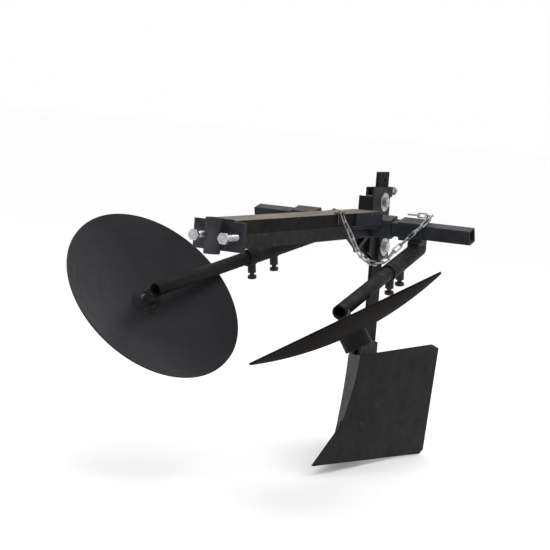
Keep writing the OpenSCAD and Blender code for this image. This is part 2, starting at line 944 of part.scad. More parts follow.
module lift_chain() {
    color(bright_steel) {
        for (i = [0:len(link_joints) - 2]) {
            p = link_joints[i];
            q = link_joints[i + 1];
            roll = i < run_links ? chain_roll + 90 * (i % 2) : tail_rolls[i - run_links];
            translate((p + q) / 2) along(q - p, roll) chain_link();
        }
        // A spare link that hangs from the same pin, flat beside the beam.
        translate([beam_w / 2 + 2.2, hook_y, beam_top - 6.2]) rotate([0, 90, 0]) chain_link();
    }
}

// Headed pin welded across the beam's top edge, which carries the first link and the spare.
hook_y = 441;
hook_z = beam_top + 2;
hook_d = 4;

module chain_hook() {
    color(bright_steel)
        union() {
            translate([21, hook_y, hook_z]) rotate([0, 90, 0])
                cylinder(h = beam_w / 2 - 11.4, d = hook_d, $fn = 24);
            translate([beam_w / 2 + 9.4, hook_y, hook_z]) rotate([0, 90, 0])
                cylinder(h = 2, d = 2 * hook_d, $fn = 24);
        }
}

hitch_tube();
hitch_plate();
adjuster_bolt_right();
adjuster_bolt_left();
beam_upper_channel();
beam_lower_channel();
saddle_gusset_right();
saddle_gusset_left();
crossbar_socket();
crossbar();
holder_front_plate();
holder_cheek_right();
holder_cheek_left();
holder_pads();
under_gusset();
brace_bar();
shank_stops();
lock_block();
depth_lock_bolt();
cross_bolts();
cross_bolt_washers();
cross_bolt_nuts();
shank();
share_breast();
share_wing_right();
share_wing_left();
share_web();
share_ribs();
share_bolts();
share_nuts();
collar_right();
collar_left();
sleeve_right();
sleeve_left();
clamp_bosses_right();
clamp_bosses_left();
clamp_screw_right_front();
clamp_screw_right_rear();
clamp_screw_left_front();
clamp_screw_left_rear();
arm_tube_right();
arm_tube_left();
axle_right();
axle_left();
hub_bearings_right();
hub_bearings_left();
axle_clip_right();
axle_clip_left();
hub_right();
hub_left();
hub_cap_right();
hub_cap_left();
bearing_spacer_right();
bearing_spacer_left();
disc_right();
disc_left();
lift_chain();
chain_hook();
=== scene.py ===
"""Two-wheel tractor ridging attachment.

Procedural finishes, welds, threaded fasteners and smooth share wings round the CAD frame.
"""

import json
import math
import random

import bmesh
import bpy
from mathutils import Euler, Matrix, Vector


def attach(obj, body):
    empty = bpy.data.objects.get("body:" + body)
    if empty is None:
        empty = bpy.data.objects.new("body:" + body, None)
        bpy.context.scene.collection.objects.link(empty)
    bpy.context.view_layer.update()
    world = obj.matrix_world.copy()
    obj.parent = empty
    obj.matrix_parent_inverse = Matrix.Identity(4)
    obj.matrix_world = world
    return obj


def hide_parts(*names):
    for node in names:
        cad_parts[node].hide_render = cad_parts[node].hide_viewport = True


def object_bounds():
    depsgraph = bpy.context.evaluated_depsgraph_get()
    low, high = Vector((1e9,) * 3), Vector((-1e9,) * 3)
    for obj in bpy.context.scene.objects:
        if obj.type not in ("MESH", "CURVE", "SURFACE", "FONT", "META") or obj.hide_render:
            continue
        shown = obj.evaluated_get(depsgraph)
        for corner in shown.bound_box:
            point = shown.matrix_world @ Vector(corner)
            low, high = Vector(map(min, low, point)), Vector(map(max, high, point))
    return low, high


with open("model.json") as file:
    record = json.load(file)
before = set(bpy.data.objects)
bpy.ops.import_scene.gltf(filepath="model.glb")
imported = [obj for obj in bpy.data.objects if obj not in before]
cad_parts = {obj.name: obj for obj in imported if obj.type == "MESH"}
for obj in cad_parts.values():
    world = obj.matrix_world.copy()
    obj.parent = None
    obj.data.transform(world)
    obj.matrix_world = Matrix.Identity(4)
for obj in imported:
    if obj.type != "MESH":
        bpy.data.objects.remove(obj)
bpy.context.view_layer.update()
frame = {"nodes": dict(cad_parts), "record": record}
nodes = frame["nodes"]
MM = 0.001


def mm(x, y, z):
    return Vector((x, y, z)) * MM


# ---------- measures that part.scad gives its parts, in millimetres ----------
BAR_Y, BAR_ROLL, SOCKET_SIDE = 618, 16, 40
BEAM_W, BEAM_TOP, BEAM_BOTTOM = 60, 28, -24
PLATE_Y, PLATE_T = 13.5, 8
SLEEVE_X, SLEEVE_Z, SLEEVE_R, MOUTH_Y = 127.6, -42.5, 16.75, -209
SCREW_Y = (MOUTH_Y + 18, MOUTH_Y + 93)
ARM_R, AXLE_INSET, AXLE_REACH = 13.4, 12, 43
BOSS_H, SCREW_GAP = 17, 6  # boss below the sleeve, and the gap from it to the screw head
PLAY_X, PLAY_SPACING = BEAM_W / 2 + 4 + 6, 65  # right side-play bolt, and the left one from it
SIDES = {
    "right": dict(sign=1, pitch=8.6, reach=307, roll=58.7, tilt=-5.5),
    "left": dict(sign=-1, pitch=10.5, reach=280, roll=43.4, tilt=0),
}
SPLAY = 8.6
CHEEK_T, CHEEK_X, CHEEK_W = 5, 4.5, 87
SOCKET_REACH = SOCKET_SIDE / 2 * (
    math.cos(math.radians(BAR_ROLL)) + math.sin(math.radians(BAR_ROLL))
)
HOLDER_Y = BAR_Y + SOCKET_REACH
CHEEK_Y = HOLDER_Y + 5
CHEEK_BACK = CHEEK_Y + CHEEK_W
SHANK_Y = CHEEK_BACK - 53
BOLT_Y = SHANK_Y + 22
LOCK_Z, LOCK_OUT = 67, 10 + 20  # depth-lock bolt's height, and its head's face behind the cheeks
LOCK_TIP_Y = SHANK_Y + 50.3
SHARE_BOLT_Z = (-345, -400)
SHARE_GRIP = 4.2 + 6
WASHER_T = 2.5


def turn(x=0, y=0, z=0):
    """OpenSCAD's rotate([x, y, z])."""
    return Euler([math.radians(a) for a in (x, y, z)], "XYZ").to_matrix().to_4x4()


def arm_frame(side):
    s = SIDES[side]
    return (
        Matrix.Diagonal((s["sign"], 1, 1, 1))
        @ Matrix.Translation((SLEEVE_X, BAR_Y, SLEEVE_Z))
        @ turn(s["pitch"], 0, SPLAY)
    )


def axle_frame(side):
    s = SIDES[side]
    front = MOUTH_Y - s["reach"]
    return (
        arm_frame(side)
        @ Matrix.Translation((0, front + AXLE_INSET, 0))
        @ turn(0, s["roll"] - 90, 0)
        @ turn(s["tilt"], 0, 0)
    )


def bar_frame():
    return Matrix.Translation((0, BAR_Y, 0)) @ turn(BAR_ROLL, 0, 0)


# ---------- node helpers ----------
class Shade:
    """A material under construction."""

    def __init__(self, name, **sockets):
        self.mat = bpy.data.materials.new(name)
        self.mat.use_nodes = True
        self.tree = self.mat.node_tree
        self.bsdf = self.tree.nodes["Principled BSDF"]
        for key, value in sockets.items():
            self.bsdf.inputs[key.replace("_", " ")].default_value = value
        self.at = self.node("ShaderNodeTexCoord").outputs["Object"]

    def node(self, kind, *links, **values):
        made = self.tree.nodes.new(kind)
        for key, value in values.items():
            if key in made.bl_rna.properties:
                setattr(made, key, value)
            else:
                made.inputs[key.replace("_", " ")].default_value = value
        for socket, source in links:
            self.tree.links.new(source, made.inputs[socket])
        return made

    def link(self, source, socket):
        self.tree.links.new(source, self.bsdf.inputs[socket])

    def noise(self, scale, detail=4.0, rough=0.55, at=None, stretch=None):
        at = at or self.at
        if stretch:
            at = self.node("ShaderNodeMapping", ("Vector", at), Scale=stretch).outputs[0]
        made = self.node(
            "ShaderNodeTexNoise", ("Vector", at), Scale=scale, Detail=detail, Roughness=rough
        )
        return made.outputs[0]

    def remap(self, source, low, high, to_low=0.0, to_high=1.0):
        made = self.node("ShaderNodeMapRange", ("Value", source))
        made.inputs["From Min"].default_value = low
        made.inputs["From Max"].default_value = high
        made.inputs["To Min"].default_value = to_low
        made.inputs["To Max"].default_value = to_high
        return made.outputs[0]

    def math(self, kind, a, b):
        made = self.node("ShaderNodeMath", operation=kind)
        for i, value in enumerate((a, b)):
            if isinstance(value, (int, float)):
                made.inputs[i].default_value = value
            else:
                self.tree.links.new(value, made.inputs[i])
        return made.outputs[0]

    def mix(self, factor, a, b):
        made = self.node("ShaderNodeMix", data_type="RGBA")
        for socket, value in ((made.inputs[0], factor), (made.inputs[6], a), (made.inputs[7], b)):
            if isinstance(value, (tuple, float, int)):
                socket.default_value = value if not isinstance(value, tuple) else (*value, 1)
            else:
                self.tree.links.new(value, socket)
        return made.outputs[2]

    def rounded(self, radius=0.0012):
        return self.node("ShaderNodeBevel", samples=6, Radius=radius).outputs[0]

    def edges(self, normal):
        """1 on convex and concave corners, 0 on flats."""
        true = self.node("ShaderNodeNewGeometry").outputs["Normal"]
        dot = self.node("ShaderNodeVectorMath", operation="DOT_PRODUCT")
        self.tree.links.new(normal, dot.inputs[0])
        self.tree.links.new(true, dot.inputs[1])
        return self.remap(dot.outputs["Value"], 0.995, 0.86)

    def bump(self, height, normal, strength, distance):
        links = [("Height", height)]
        if normal is not None:
            links.append(("Normal", normal))
        return self.node(
            "ShaderNodeBump", *links, Strength=strength, Distance=distance
        ).outputs[0]


def facing(shade, axis):
    """Cosine between the surface and an axis of the object at rest."""
    normal = shade.node("ShaderNodeTexCoord").outputs["Normal"]
    dot = shade.node("ShaderNodeVectorMath", operation="DOT_PRODUCT")
    dot.inputs[1].default_value = axis
    shade.tree.links.new(normal, dot.inputs[0])
    return dot.outputs["Value"]


def paint(name, dark, light, wear=0.35, wear_colour=(0.11, 0.10, 0.095), rough=0.50, top=None,
          radius=0.0012, gloss=0.12):
    """Black enamel over mill scale: mottled, dusty, orange-peeled and rubbed at its edges; a top
    colour adds painted light on upward faces.
    """
    s = Shade(name, Specular_IOR_Level=gloss)
    mottle = s.noise(14, 6)
    grain = s.noise(260, 3)
    smear = s.noise(30, 5, stretch=(1, 0.25, 1))
    colour = s.mix(s.remap(mottle, 0.35, 0.68), dark, light)
    colour = s.mix(s.remap(grain, 0.52, 0.75, 0, 0.35), colour, tuple(c * 1.7 for c in light))
    normal = s.rounded(radius)
    # Painted light: upward faces take the lighter top colour, broken up by a smear; on the beam its
    # brown also stands for worn paint.
    if top:
        share = s.math("MULTIPLY", s.remap(facing(s, (0, 0, 1)), 0.75, 0.97),
                       s.remap(smear, 0.30, 0.62, 0.55, 1.0))
        top_light_and_wear = s.mix(s.remap(grain, 0.4, 0.7), top, tuple(0.72 * c for c in top))
        colour = s.mix(share, colour, top_light_and_wear)
    rub = s.math("MULTIPLY", s.edges(normal), s.remap(s.noise(75, 4), 0.44, 0.60, 0, wear))
    scratch = s.remap(s.noise(120, 2, stretch=(1, 0.2, 1)), 0.70, 0.76, 0, wear)
    nick = s.math("MULTIPLY", scratch, 0.8)
    worn = s.math("MAXIMUM", rub, nick)
    colour = s.mix(worn, colour, wear_colour)
    s.link(colour, "Base Color")
    s.link(s.remap(s.noise(55, 4), 0.3, 0.7, rough - 0.08, rough + 0.16), "Roughness")
    height = s.math("ADD", s.math("MULTIPLY", grain, 0.6), s.math("MULTIPLY", s.noise(70, 4), 0.8))
    s.link(s.bump(height, normal, 0.28, 0.0006), "Normal")
    return s.mat


def plated(name, colour, tint, rough=0.30, radius=0.0006):
    """Zinc plating: bright, faintly yellow in patches, with a soft spangle."""
    s = Shade(name, Metallic=0.85)
    cells = s.node("ShaderNodeTexVoronoi", ("Vector", s.at), Scale=420.0).outputs["Color"]
    value = s.node("ShaderNodeSeparateColor", ("Color", cells)).outputs[0]
    cloud = s.noise(60, 5)
    base = s.mix(s.remap(cloud, 0.4, 0.68), colour, tint)
    base = s.mix(s.remap(value, 0, 1, 0, 0.14), base, (0.34, 0.35, 0.37))
    normal = s.rounded(radius)
    stain = s.math("MULTIPLY", s.remap(s.noise(150, 5), 0.60, 0.74), 0.5)
    base = s.mix(stain, base, (0.16, 0.14, 0.12))
    s.link(base, "Base Color")
    s.link(s.remap(s.noise(110, 4), 0.3, 0.7, rough - 0.07, rough + 0.16), "Roughness")
    s.link(s.bump(s.noise(340, 3), normal, 0.18, 0.0003), "Normal")
    return s.mat


def disc_metal(name, side, dark, light, gloss=0.12, rough=0.46):
    """Dark rolled steel with arcs of fine scratches about the disc's own axis."""
    s = Shade(name, Specular_IOR_Level=gloss)
    place = axle_frame(side)
    centre = place @ Vector((0, 0, -AXLE_REACH)) * MM
    turned = place.to_3x3()
    e1, e2 = (turned @ Vector(v) for v in ((1, 0, 0), (0, 1, 0)))
    away = s.node("ShaderNodeVectorMath", ("Vector", s.at), operation="SUBTRACT")
    away.inputs[1].default_value = centre
    flat = []
    for e in (e1, e2):
        dot = s.node("ShaderNodeVectorMath", operation="DOT_PRODUCT")
        dot.inputs[1].default_value = e
        s.tree.links.new(away.outputs[0], dot.inputs[0])
        flat.append(dot.outputs["Value"])
    radius = s.math("SQRT", s.math("ADD", s.math("MULTIPLY", flat[0], flat[0]),
                                   s.math("MULTIPLY", flat[1], flat[1])), 0)
    ring = s.node("ShaderNodeCombineXYZ")
    s.tree.links.new(s.math("MULTIPLY", radius, 520.0), ring.inputs[0])
    for i in (0, 1):
        s.tree.links.new(s.math("MULTIPLY", flat[i], 9.0), ring.inputs[i + 1])
    arcs = s.node(
        "ShaderNodeTexNoise", ("Vector", ring.outputs[0]), Scale=1.0, Detail=3.0
    ).outputs[0]
    streaks = s.noise(26, 5, stretch=(1, 0.35, 2.2))
    cloud = s.noise(7, 5)
    colour = s.mix(s.remap(cloud, 0.32, 0.68), dark, light)
    colour = s.mix(s.remap(streaks, 0.52, 0.72, 0, 0.3), colour, tuple(1.25 * c for c in light))
    patch = s.remap(s.noise(5, 3), 0.42, 0.62, 0.15, 1)
    arc = s.math("MULTIPLY", s.remap(arcs, 0.60, 0.70, 0, 0.55), patch)
    colour = s.mix(s.math("MULTIPLY", arc, 0.3), colour, (0.07, 0.07, 0.075))
    normal = s.rounded(0.0009)
    rim = s.math("MULTIPLY", s.edges(normal), s.remap(s.noise(60, 3), 0.42, 0.6, 0.1, 0.7))
    colour = s.mix(rim, colour, (0.10, 0.095, 0.09))
    s.link(colour, "Base Color")
    s.link(s.remap(arcs, 0.35, 0.65, rough, rough + 0.14), "Roughness")
    height = s.math("ADD", s.math("MULTIPLY", arcs, 0.5), s.noise(180, 3))
    s.link(s.bump(height, normal, 0.22, 0.0005), "Normal")
    return s.mat


def weld_metal(name, colour, heat, rough=0.38):
    s = Shade(name, Specular_IOR_Level=0.3)
    base = s.mix(s.remap(s.noise(130, 4), 0.38, 0.62), colour, heat)
    s.link(base, "Base Color")
    s.link(s.remap(s.noise(260, 3), 0.3, 0.7, rough - 0.1, rough + 0.15), "Roughness")
    s.link(s.bump(s.noise(500, 3), None, 0.35, 0.0003), "Normal")
    return s.mat


BLACK = paint("black_enamel", (0.004, 0.004, 0.005), (0.012, 0.012, 0.0135))
PLATE = paint("plate_enamel", (0.011, 0.011, 0.014), (0.036, 0.036, 0.043))
# Painted light: the top colours lighten the upward faces of the beam, crossbar, collars and saddle
# gussets, bluish on the gussets; the beam's brown also stands for its worn paint.
BEAM = paint("beam_enamel", (0.003, 0.003, 0.003), (0.010, 0.0085, 0.0078),
             top=(0.175, 0.152, 0.125), gloss=0.06, rough=0.56)
BAR = paint("bar_enamel", (0.007, 0.008, 0.010), (0.019, 0.021, 0.026), wear=0.7,
            top=(0.060, 0.060, 0.062))
COLLAR = paint("collar_enamel", (0.007, 0.008, 0.010), (0.019, 0.020, 0.024), wear=0.5,
               top=(0.075, 0.064, 0.055))
SADDLE = paint("saddle_enamel", (0.006, 0.007, 0.009), (0.018, 0.020, 0.025),
               top=(0.045, 0.050, 0.060))
BRACE = paint("brace_enamel", (0.014, 0.014, 0.010), (0.045, 0.044, 0.034))
TUBE = paint("tube_enamel", (0.004, 0.004, 0.004), (0.015, 0.014, 0.013), wear=0.7,
             gloss=0.05, rough=0.60)
# Painted light: the share breast's light grey stands for light falling on its front face.
BREAST = paint("breast_painted_light", (0.040, 0.040, 0.041), (0.090, 0.090, 0.092), wear=0.5)
SHARE = paint("share_enamel", (0.0055, 0.0058, 0.0052), (0.010, 0.010, 0.0115), wear=0.22)
SCREW = paint("screw_oxide", (0.006, 0.005, 0.0045), (0.024, 0.019, 0.015), wear=0.5,
              wear_colour=(0.20, 0.16, 0.13), rough=0.36)
BOSS = paint("boss_enamel", (0.008, 0.008, 0.008), (0.026, 0.022, 0.018), wear=0.5)
ZINC = plated("zinc_plate", (0.40, 0.42, 0.44), (0.30, 0.30, 0.27), rough=0.26)
CHAIN = plated("chain_zinc", (0.36, 0.37, 0.38), (0.13, 0.13, 0.13), rough=0.22)
DULL = plated("dull_link", (0.035, 0.033, 0.031), (0.08, 0.07, 0.055), rough=0.42)
AXLE = plated("axle_steel", (0.07, 0.07, 0.075), (0.045, 0.04, 0.036), rough=0.40)
# Painted light and shade: both discs are the same steel, but the right one is made darker and
# duller and the left one lighter, standing for how light falls on each.
DISC = {side: disc_metal("disc_steel_" + side, side, *lit_and_shaded_tones) for side, lit_and_shaded_tones in {
    "left": ((0.010, 0.0095, 0.012), (0.0165, 0.016, 0.0195)),
    "right": ((0.0045, 0.0035, 0.003), (0.010, 0.0085, 0.007), 0.02, 0.72),
}.items()}
WELD = weld_metal("weld_bead", (0.010, 0.010, 0.012), (0.030, 0.030, 0.033))
BARE_WELD = weld_metal("bare_weld", (0.16, 0.15, 0.14), (0.075, 0.05, 0.04))


# ---------- pieces ----------
def piece(name, verts, faces, material, body, replaces=(), smooth=True):
    mesh = bpy.data.meshes.new(name)
    mesh.from_pydata([tuple(v) for v in verts], [], faces)
    mesh.validate()
    if smooth:
        mesh.polygons.foreach_set("use_smooth", [True] * len(mesh.polygons))
    for m in material if isinstance(material, (list, tuple)) else [material]:
        mesh.materials.append(m)
    obj = bpy.data.objects.new(name, mesh)
    bpy.context.scene.collection.objects.link(obj)
    if smooth:
        sharp_edges(mesh, 40)
    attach(obj, body)
    if replaces:
        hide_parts(*replaces)
    return obj


def sharp_edges(mesh, degrees):
    work = bmesh.new()
    work.from_mesh(mesh)
    bmesh.ops.recalc_face_normals(work, faces=work.faces)
    limit = math.radians(degrees)
    for e in work.edges:
        e.smooth = len(e.link_faces) == 2 and e.calc_face_angle(0) < limit
    work.to_mesh(mesh)
    work.free()


def lathe(rings, steps, place, verts, faces):
    """Closed body of rings; a ring is one (radius, z), or a function of the angle that gives it."""
    first = len(verts)
    for ring in rings:
        for k in range(steps):
            a = 2 * math.pi * k / steps
            r, z = ring(a) if callable(ring) else ring
            verts.append(place @ Vector((r * math.cos(a), r * math.sin(a), z)) * MM)
    for i in range(len(rings) - 1):
        for k in range(steps):
            a, b = first + i * steps + k, first + i * steps + (k + 1) % steps
            faces.append((a, b, b + steps, a + steps))
    faces.append(tuple(first + k for k in range(steps))[::-1])
    last = first + (len(rings) - 1) * steps
    faces.append(tuple(last + k for k in range(steps)))


def hexagon(across, z_of):
    """Ring on a hexagon with its corners on the angles 0, 60, ..."""
    apothem = across / 2

    def ring(angle):
        off = (angle + math.pi / 6) % (math.pi / 3) - math.pi / 6
        corner = math.pi / 6 - abs(off)
        radius = apothem / math.cos(corner)
        return radius, z_of(radius - apothem)

    return ring


STEPS = 48
THREAD_STEPS = 24


def bolt(d, length, across, head_h, place, verts, faces, thread=None, pitch=1.5):
    """Hexagon bolt like part.scad's: bearing face at z = 0, head above, shank to z = -length."""
    flat = 0.94 * across / 2
    head = [
        (d / 2, 0.0), (flat, 0.0), (flat, 0.35),
        hexagon(across, lambda over: 0.35 + 0.02 * over),
        hexagon(across, lambda over: head_h - 0.58 * over - 0.25),
        (flat, head_h), (0.55 * flat, head_h), (0.5 * flat, head_h - 0.35),
    ]
    lathe(head, STEPS, place, verts, faces)
    thread = length if thread is None else thread
    depth = 0.55 * pitch
    step = pitch / 8
    count = max(int(thread / step), 1)

    def ridge(z):
        def ring(angle):
            share = (z / pitch - angle / (2 * math.pi)) % 1.0
            fade = min(1.0, (z + length) / 1.5 + 0.25)
            root = abs(2 * share - 1)
            return d / 2 - depth * (1 - root) - (1 - fade) * depth, z
        return ring

    rings = [ridge(-length + step * i) for i in range(count + 1)]
    if thread < length:
        rings += [(d / 2, -length + thread + 0.6), (d / 2, 0.2)]
    lathe(rings, THREAD_STEPS, place, verts, faces)


def nut(d, across, height, place, verts, faces):
    """Hexagon nut with chamfered corners on both faces and a dished bore."""
    flat = 0.94 * across / 2
    bore = d / 2
    rings = [
        (bore, 0.8), (bore + 0.8, 0.0), (flat, 0.0),
        hexagon(across, lambda over: 0.2 + 0.58 * over),
        hexagon(across, lambda over: height - 0.2 - 0.58 * over),
        (flat, height), (bore + 0.8, height), (bore, height - 0.8),
    ]
    first = len(verts)
    lathe(rings, STEPS, place, verts, faces)
    del faces[-2:]
    last = first + (len(rings) - 1) * STEPS
    for k in range(STEPS):
        faces.append((first + k, first + (k + 1) % STEPS, last + (k + 1) % STEPS, last + k)[::-1])


rng = random.Random(7)


def bead(path, radius, verts, faces, ripple=2.4):
    """A weld bead along a path in millimetres, with the ripples of its puddles."""
    points = [Vector(p) for p in path]
    line = [points[0]]
    for a, b in zip(points, points[1:]):
        n = max(1, int((b - a).length / 0.8))
        line += [a.lerp(b, k / n) for k in range(1, n + 1)]
    first, sides, run = len(verts), 10, 0.0
    for i, p in enumerate(line):
        ahead = line[min(i + 1, len(line) - 1)] - line[max(i - 1, 0)]
        ahead.normalize()
        side = ahead.orthogonal() if i == 0 else side - ahead * side.dot(ahead)
        side.normalize()
        up = ahead.cross(side)
        run += (p - line[i - 1]).length if i else 0
        end = min(i, len(line) - 1 - i)
        taper = min(1.0, 0.45 + 0.28 * end)
        puddle = 0.84 + 0.2 * abs(math.sin(math.pi * run / ripple)) + rng.uniform(-0.03, 0.03)
        for k in range(sides):
            a = 2 * math.pi * k / sides
            r = radius * taper * puddle
            verts.append((p + side * (r * math.cos(a)) + up * (r * math.sin(a))) * MM)
    for i in range(len(line) - 1):
        for k in range(sides):
            a, b = first + i * sides + k, first + i * sides + (k + 1) % sides
            faces.append((a, b, b + sides, a + sides))
    faces.append(tuple(first + k for k in range(sides))[::-1])
    last = first + (len(line) - 1) * sides
    faces.append(tuple(last + k for k in range(sides)))


def beads(name, runs, body, material=WELD):
    verts, faces = [], []
    for path, radius in runs:
        bead(path, radius, verts, faces)
    return piece(name, verts, faces, material, body)


def ring_path(place, point, n=40):
    return [place @ Vector(point(2 * math.pi * k / n)) for k in range(n + 1)]


# ---------- fasteners, each in the place of its plain CAD node ----------
def body_of(node):
    bodies = frame["record"]["behaviour"]["bodies"]
    return next(body for body, members in bodies.items() if node in members)


def fastener(name, node, make, material=ZINC):
    """One piece with real threads and chamfered corners; make(verts, faces) builds its mesh."""
    verts, faces = [], []
    make(verts, faces)
    return piece(name, verts, faces, material, body_of(node), [node])


def play_bolt(side, x, reach, tail):
    place = Matrix.Translation((x, PLATE_Y - reach, 0)) @ turn(90, 0, 0)
    node = "adjuster_bolt_" + side
    fastener("threaded_" + node, node, lambda verts, faces: bolt(
        11.9, reach + PLATE_T + tail, 19, 7.5, place, verts, faces, pitch=1.75))


def clamp_screw(side, end, y):
    head_z = -SLEEVE_R - BOSS_H - SCREW_GAP
    place = arm_frame(side) @ Matrix.Translation((0, y, head_z)) @ turn(180, 0, 0)
    node = f"clamp_screw_{side}_{end}"
    fastener("threaded_" + node, node, lambda verts, faces: bolt(
        9.9, -head_z - ARM_R - 0.05, 17, 7, place, verts, faces), SCREW)


def lock_bolt(verts, faces):
    """Bolt with a turned dog at its tip, which presses on the shank."""
    head_y = CHEEK_BACK + LOCK_OUT
    head = Matrix.Translation((0, head_y, LOCK_Z)) @ turn(-90, 0, 0)
    bolt(9.9, head_y - CHEEK_BACK, 17, 7, head, verts, faces)
    dog = Matrix.Translation((0, LOCK_TIP_Y, LOCK_Z)) @ turn(-90, 0, 0)
    lathe([(3.2, 0), (4, 0.8), (4, CHEEK_BACK - LOCK_TIP_Y + 1)], THREAD_STEPS, dog, verts, faces)


# height of each cross bolt, and how far out its washers sit
SEATS = ((45, CHEEK_X + CHEEK_T), (-50, CHEEK_X + CHEEK_T + 8))


def cross_bolts(verts, faces):
    for z, outside in SEATS:
        grip = outside + WASHER_T
        place = Matrix.Translation((grip, BOLT_Y, z)) @ turn(0, 90, 0)
        bolt(11.9, 2 * grip + 15, 19, 7.5, place, verts, faces, thread=26, pitch=1.75)


def cross_nuts(verts, faces):
    for z, outside in SEATS:
        place = Matrix.Translation((-outside - WASHER_T, BOLT_Y, z)) @ turn(0, -90, 0)
        nut(12.1, 19, 10, place, verts, faces)


def share_bolts(verts, faces):
    for z in SHARE_BOLT_Z:
        place = Matrix.Translation((SHARE_GRIP, BOLT_Y, z)) @ turn(0, 90, 0)
        bolt(9.9, 2 * SHARE_GRIP + 11, 17, 6.5, place, verts, faces, thread=20)


def share_nuts(verts, faces):
    for z in SHARE_BOLT_Z:
        place = Matrix.Translation((-SHARE_GRIP, BOLT_Y, z)) @ turn(0, -90, 0)
        nut(10.1, 17, 8, place, verts, faces)


play_bolt("right", PLAY_X, 42, 10)
play_bolt("left", PLAY_X - PLAY_SPACING, 33, -0.5)
for side in SIDES:
    for end, y in zip(("front", "rear"), SCREW_Y):
        clamp_screw(side, end, y)
fastener("threaded_depth_lock_bolt", "depth_lock_bolt", lock_bolt)
fastener("detailed_cross_bolts", "cross_bolts", cross_bolts)
fastener("detailed_cross_nuts", "cross_bolt_nuts", cross_nuts)
fastener("detailed_share_bolts", "share_bolts", share_bolts)
fastener("detailed_share_nuts", "share_nuts", share_nuts)

# ---------- welds ----------
PLATE_BACK = PLATE_Y + PLATE_T + 0.7
CHEEK_EDGE = CHEEK_X + CHEEK_T + 0.3
HUB_R = 26.2


def upright(x, y, low, high, radius):
    return [(x, y, low), (x, y, high)], radius


def level(half, y, z, radius):
    return [(-half, y, z), (half, y, z)], radius


frame_runs = [upright(x, 12.9, -25, 25, 2.6) for x in (-7.4, 7.4)]
frame_runs += [
    level(29.5, PLATE_BACK, BEAM_TOP + 0.4, 2.0),
    level(28, PLATE_BACK, BEAM_BOTTOM - 0.3, 2.0),
    upright(30.3, PLATE_BACK, -23, 27, 1.9),
    upright(-30.3, PLATE_BACK, -23, 27, 1.9),
    ([bar_frame() @ Vector((x, -7, 20.2)) for x in (-29, 29)], 2.0),
]
for x in (-CHEEK_EDGE, CHEEK_EDGE):
    frame_runs.append(upright(x, CHEEK_Y + 0.3, -58, 56, 1.7))
    frame_runs.append(upright(x, HOLDER_Y + 0.4, -16, 14, 1.5))
beads("frame_welds", frame_runs, "frame")
beads("holder_top_weld", [level(8.5, CHEEK_Y + 1, 58.2, 1.9)], "frame", BARE_WELD)


def saddle_ring(place, tube, r, at=0, n=40):
    """Ring of radius r round y = at, on the underside of a tube that runs along Y."""
    def point(a):
        x = r * math.cos(a)
        return x, at + r * math.sin(a), -math.sqrt(tube ** 2 - x ** 2) - 0.2
    return ring_path(place, point, n)


def flat_ring(place, r, z, n=90):
    return ring_path(place, lambda a: (r * math.cos(a), r * math.sin(a), z), n)


for side in SIDES:
    arm, axle = arm_frame(side), axle_frame(side)
    bosses = [(saddle_ring(arm, SLEEVE_R, 8.7, y), 1.5) for y in SCREW_Y]
    beads("boss_welds_" + side, bosses, f"collar_{side}_body")
    # where the collar's pad stands on the sleeve
    seat = []
    for x in (-9.5, 9.5):
        z = math.sqrt(SLEEVE_R ** 2 - x * x)
        seat.append(([arm @ Vector((x, y, z)) for y in (-13, 20)], 1.8))
    beads("seat_welds_" + side, seat, f"collar_{side}_body")
    beads("axle_weld_" + side, [(saddle_ring(axle, ARM_R, 10.3), 1.8)], f"arm_{side}_body")
    rims = [(flat_ring(axle, HUB_R, -AXLE_REACH + z), 1.3) for z in (-2.6, 2.2)]
    beads("hub_weld_" + side, rims, f"disc_{side}_body")


# ---------- share wings: the CAD's ruled plates on a finer, smooth-shaded grid ----------
BREAST_TOP, NOSE_ROOT, NOSE_TIP = (BAR_Y + 20, -281), (BAR_Y - 41, -442), (BAR_Y - 142, -496)
BREAST_TURN, NOSE_HALF, BREAST_HALF, WING_T = 12, 3, 13, 3
chord = math.dist(BREAST_TOP, NOSE_ROOT)
lean = math.degrees(math.atan2(BREAST_TOP[0] - NOSE_ROOT[0], BREAST_TOP[1] - NOSE_ROOT[1]))
arc_r = chord / (2 * math.sin(math.radians(BREAST_TURN)))


def breast_point(s):
    a0, a1 = (math.radians(lean - BREAST_TURN + 2 * BREAST_TURN * k) for k in (0, s))
    return (BREAST_TOP[0] - arc_r * (math.cos(a0) - math.cos(a1)),
            BREAST_TOP[1] - arc_r * (math.sin(a1) - math.sin(a0)))


def front_edge(u):
    """Front edge of the right wing: u is 0 at its top, 6 at the nose's root and 9 at its tip."""
    if u <= 6:
        s = u / 6
        y, z = breast_point(s)
        return Vector((NOSE_HALF + (BREAST_HALF - NOSE_HALF) * (1 - s ** 1.6), y, z))
    k = (u - 6) / 3
    return Vector((NOSE_HALF, *(a + (b - a) * k for a, b in zip(NOSE_ROOT, NOSE_TIP))))


def rear_edge(u):
    top, upper = Vector((95, BAR_Y + 220, -266)), Vector((99, BAR_Y + 250, -277))
    lower, foot = Vector((85, BAR_Y + 244, -509)), Vector((80, BAR_Y + 236, -518))
    if u <= 1:
        return top.lerp(upper, u)
    if u >= 8:
        return lower.lerp(foot, u - 8)
    return upper.lerp(lower, (u - 1) / 7)


